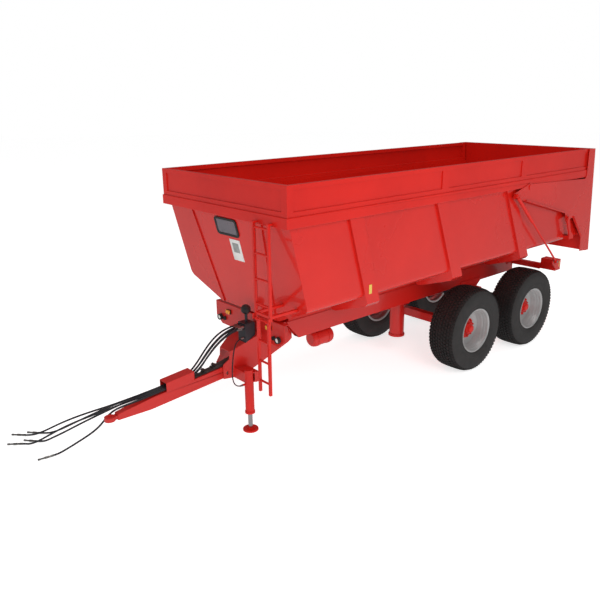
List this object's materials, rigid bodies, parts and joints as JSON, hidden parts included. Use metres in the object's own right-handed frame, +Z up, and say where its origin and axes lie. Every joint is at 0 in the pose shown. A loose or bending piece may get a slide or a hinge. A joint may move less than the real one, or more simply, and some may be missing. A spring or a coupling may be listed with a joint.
{
  "type": "grain trailer",
  "caption": "Rear-tipping farm grain trailer with a deep tub, swinging tailgate with side rams, tandem bogie, telescopic tipping ram, drawbar with jack and free hydraulic hoses.",
  "frame": {"origin": "on the ground, half way between the drawbar tip and the rearmost point of the tailgate, on the trailer's middle plane", "axes": "+X towards the tractor, +Y to the left, +Z up"},
  "size_m": [8.9589, 2.7755, 3.052],
  "materials": {
    "red_paint": "gloss",
    "frame_red": "gloss",
    "dark_steel": "satin",
    "rim_silver": "satin",
    "tyre": "matte",
    "chrome": "polished",
    "steel": "brushed",
    "hose_rubber": "satin",
    "seal_rubber": "matte",
    "window": "clear",
    "lamp_plastic": "gloss"
  },
  "bodies": {
    "chassis": {"chassis_rails": "frame_red", "cross_members": "frame_red", "lamp_beam": "frame_red", "pivot_pins": "steel", "bogie_hangers": "frame_red", "drawbar_neck": "frame_red", "front_bulkhead": "frame_red", "lamps": "lamp_plastic", "valve_block": "dark_steel", "accumulator": "dark_steel", "air_tank": "frame_red", "jack_bracket": "frame_red", "jack_barrel": "frame_red", "hose_jack": "hose_rubber"},
    "jack": {"jack_rod": "chrome", "jack_foot": "frame_red"},
    "drawbar": {"drawbar_beam": "frame_red", "drawbar_eye": "frame_red", "hose_guide": "frame_red", "drawbar_leaf_spring": "dark_steel", "hose_1": "hose_rubber", "hose_2": "hose_rubber", "hose_3": "hose_rubber", "hose_4": "hose_rubber", "hose_5": "hose_rubber", "hose_couplings": "steel"},
    "bogie": {"bogie_springs": "dark_steel", "spring_saddles": "dark_steel", "axles": "frame_red", "brake_chambers": "dark_steel"},
    "tipping_body": {"tub_shell": "red_paint", "body_ribs": "red_paint", "top_rail": "red_paint", "extension_boards": "red_paint", "body_subframe": "red_paint", "window_frame": "seal_rubber", "window_glass": "window", "upper_ladder": "red_paint"},
    "tailgate": {"tailgate_panel": "red_paint", "tailgate_arms": "red_paint"},
    "hatch": {"grain_hatch": "red_paint"},
    "door_rods": {"door_ram_rods": "chrome"},
    "door_barrels": {"door_ram_barrels": "red_paint"},
    "ladder_foot": {"lower_ladder": "red_paint"},
    "ram_body": {"ram_barrel": "frame_red"},
    "ram_first": {"ram_stage_1": "chrome"},
    "ram_second": {"ram_stage_2": "chrome"},
    "ram_third": {"ram_stage_3": "chrome"},
    "wheel_front_left": {"tyre_front_left": "tyre", "rim_front_left": "rim_silver", "hub_front_left": "frame_red"},
    "wheel_front_right": {"tyre_front_right": "tyre", "rim_front_right": "rim_silver", "hub_front_right": "frame_red"},
    "wheel_rear_left": {"tyre_rear_left": "tyre", "rim_rear_left": "rim_silver", "hub_rear_left": "frame_red"},
    "wheel_rear_right": {"tyre_rear_right": "tyre", "rim_rear_right": "rim_silver", "hub_rear_right": "frame_red"}
  },
  "joints": [
    {"name": "tip", "type": "hinge", "parent": "chassis", "child": "tipping_body", "pos_m": [-2.96, 0, 1.35], "axis": [0, -1, 0], "range_deg": [0, 48]},
    {"name": "tailgate_swing", "type": "hinge", "parent": "tipping_body", "child": "tailgate", "pos_m": [-2.008, 0, 2.612], "axis": [0, 1, 0], "range_deg": [0, 85]},
    {"name": "hatch_slide", "type": "slide", "parent": "tailgate", "child": "hatch", "axis": [0.1044, 0, 0.9945], "range_m": [0, 0.36]},
    {"name": "door_ram_swing", "type": "hinge", "parent": "tipping_body", "child": "door_rods", "pos_m": [-2.96, 0, 1.35], "axis": [0, -1, 0], "range_deg": [0, 3]},
    {"name": "door_ram_stroke", "type": "slide", "parent": "door_rods", "child": "door_barrels", "axis": [-0.75, 0, -0.6615], "range_m": [0, 0.5212]},
    {"name": "ladder_fold", "type": "hinge", "parent": "tipping_body", "child": "ladder_foot", "pos_m": [2.637, 0.86, 1.587], "axis": [0, -1, 0], "range_deg": [0, 170]},
    {"name": "ram_swing", "type": "hinge", "parent": "chassis", "child": "ram_body", "pos_m": [-0.63, 0, 0.95], "axis": [0, -1, 0], "range_deg": [0, 20]},
    {"name": "ram_stroke_1", "type": "slide", "parent": "ram_body", "child": "ram_first", "axis": [0, 0, 1], "range_m": [0, 0.6243]},
    {"name": "ram_stroke_2", "type": "slide", "parent": "ram_first", "child": "ram_second", "axis": [0, 0, 1], "range_m": [0, 0.6243]},
    {"name": "ram_stroke_3", "type": "slide", "parent": "ram_second", "child": "ram_third", "axis": [0, 0, 1], "range_m": [0, 0.6243]},
    {"name": "drawbar_lift", "type": "hinge", "parent": "chassis", "child": "drawbar", "pos_m": [2.58, 0, 0.705], "axis": [0, -1, 0], "range_deg": [0, 5], "deforming": ["hose_1", "hose_2", "hose_3", "hose_4", "hose_5"]},
    {"name": "jack_lift", "type": "slide", "parent": "chassis", "child": "jack", "axis": [0, 0, 1], "range_m": [0, 0.18]},
    {"name": "bogie_rock", "type": "hinge", "parent": "chassis", "child": "bogie", "pos_m": [-1.816, 0, 0.945], "axis": [0, 1, 0], "range_deg": [-4, 4]},
    {"name": "wheel_front_left_spin", "type": "hinge", "parent": "bogie", "child": "wheel_front_left", "pos_m": [-1.06, 0.94, 0.622], "axis": [0, 1, 0], "continuous": true},
    {"name": "wheel_front_right_spin", "type": "hinge", "parent": "bogie", "child": "wheel_front_right", "pos_m": [-1.06, -0.94, 0.622], "axis": [0, 1, 0], "continuous": true},
    {"name": "wheel_rear_left_spin", "type": "hinge", "parent": "bogie", "child": "wheel_rear_left", "pos_m": [-2.572, 0.94, 0.622], "axis": [0, 1, 0], "continuous": true},
    {"name": "wheel_rear_right_spin", "type": "hinge", "parent": "bogie", "child": "wheel_rear_right", "pos_m": [-2.572, -0.94, 0.622], "axis": [0, 1, 0], "continuous": true}
  ],
  "couplings": [
    {"joint": "door_ram_swing", "follows": "tailgate_swing", "ratio": 0.034367},
    {"joint": "door_ram_stroke", "follows": "tailgate_swing", "m_per_rad": 0.35064},
    {"joint": "ram_swing", "follows": "tip", "ratio": 0.40722},
    {"joint": "ram_stroke_1", "follows": "tip", "m_per_rad": 0.74405},
    {"joint": "ram_stroke_2", "follows": "tip", "m_per_rad": 0.74405},
    {"joint": "ram_stroke_3", "follows": "tip", "m_per_rad": 0.74405}
  ]
}
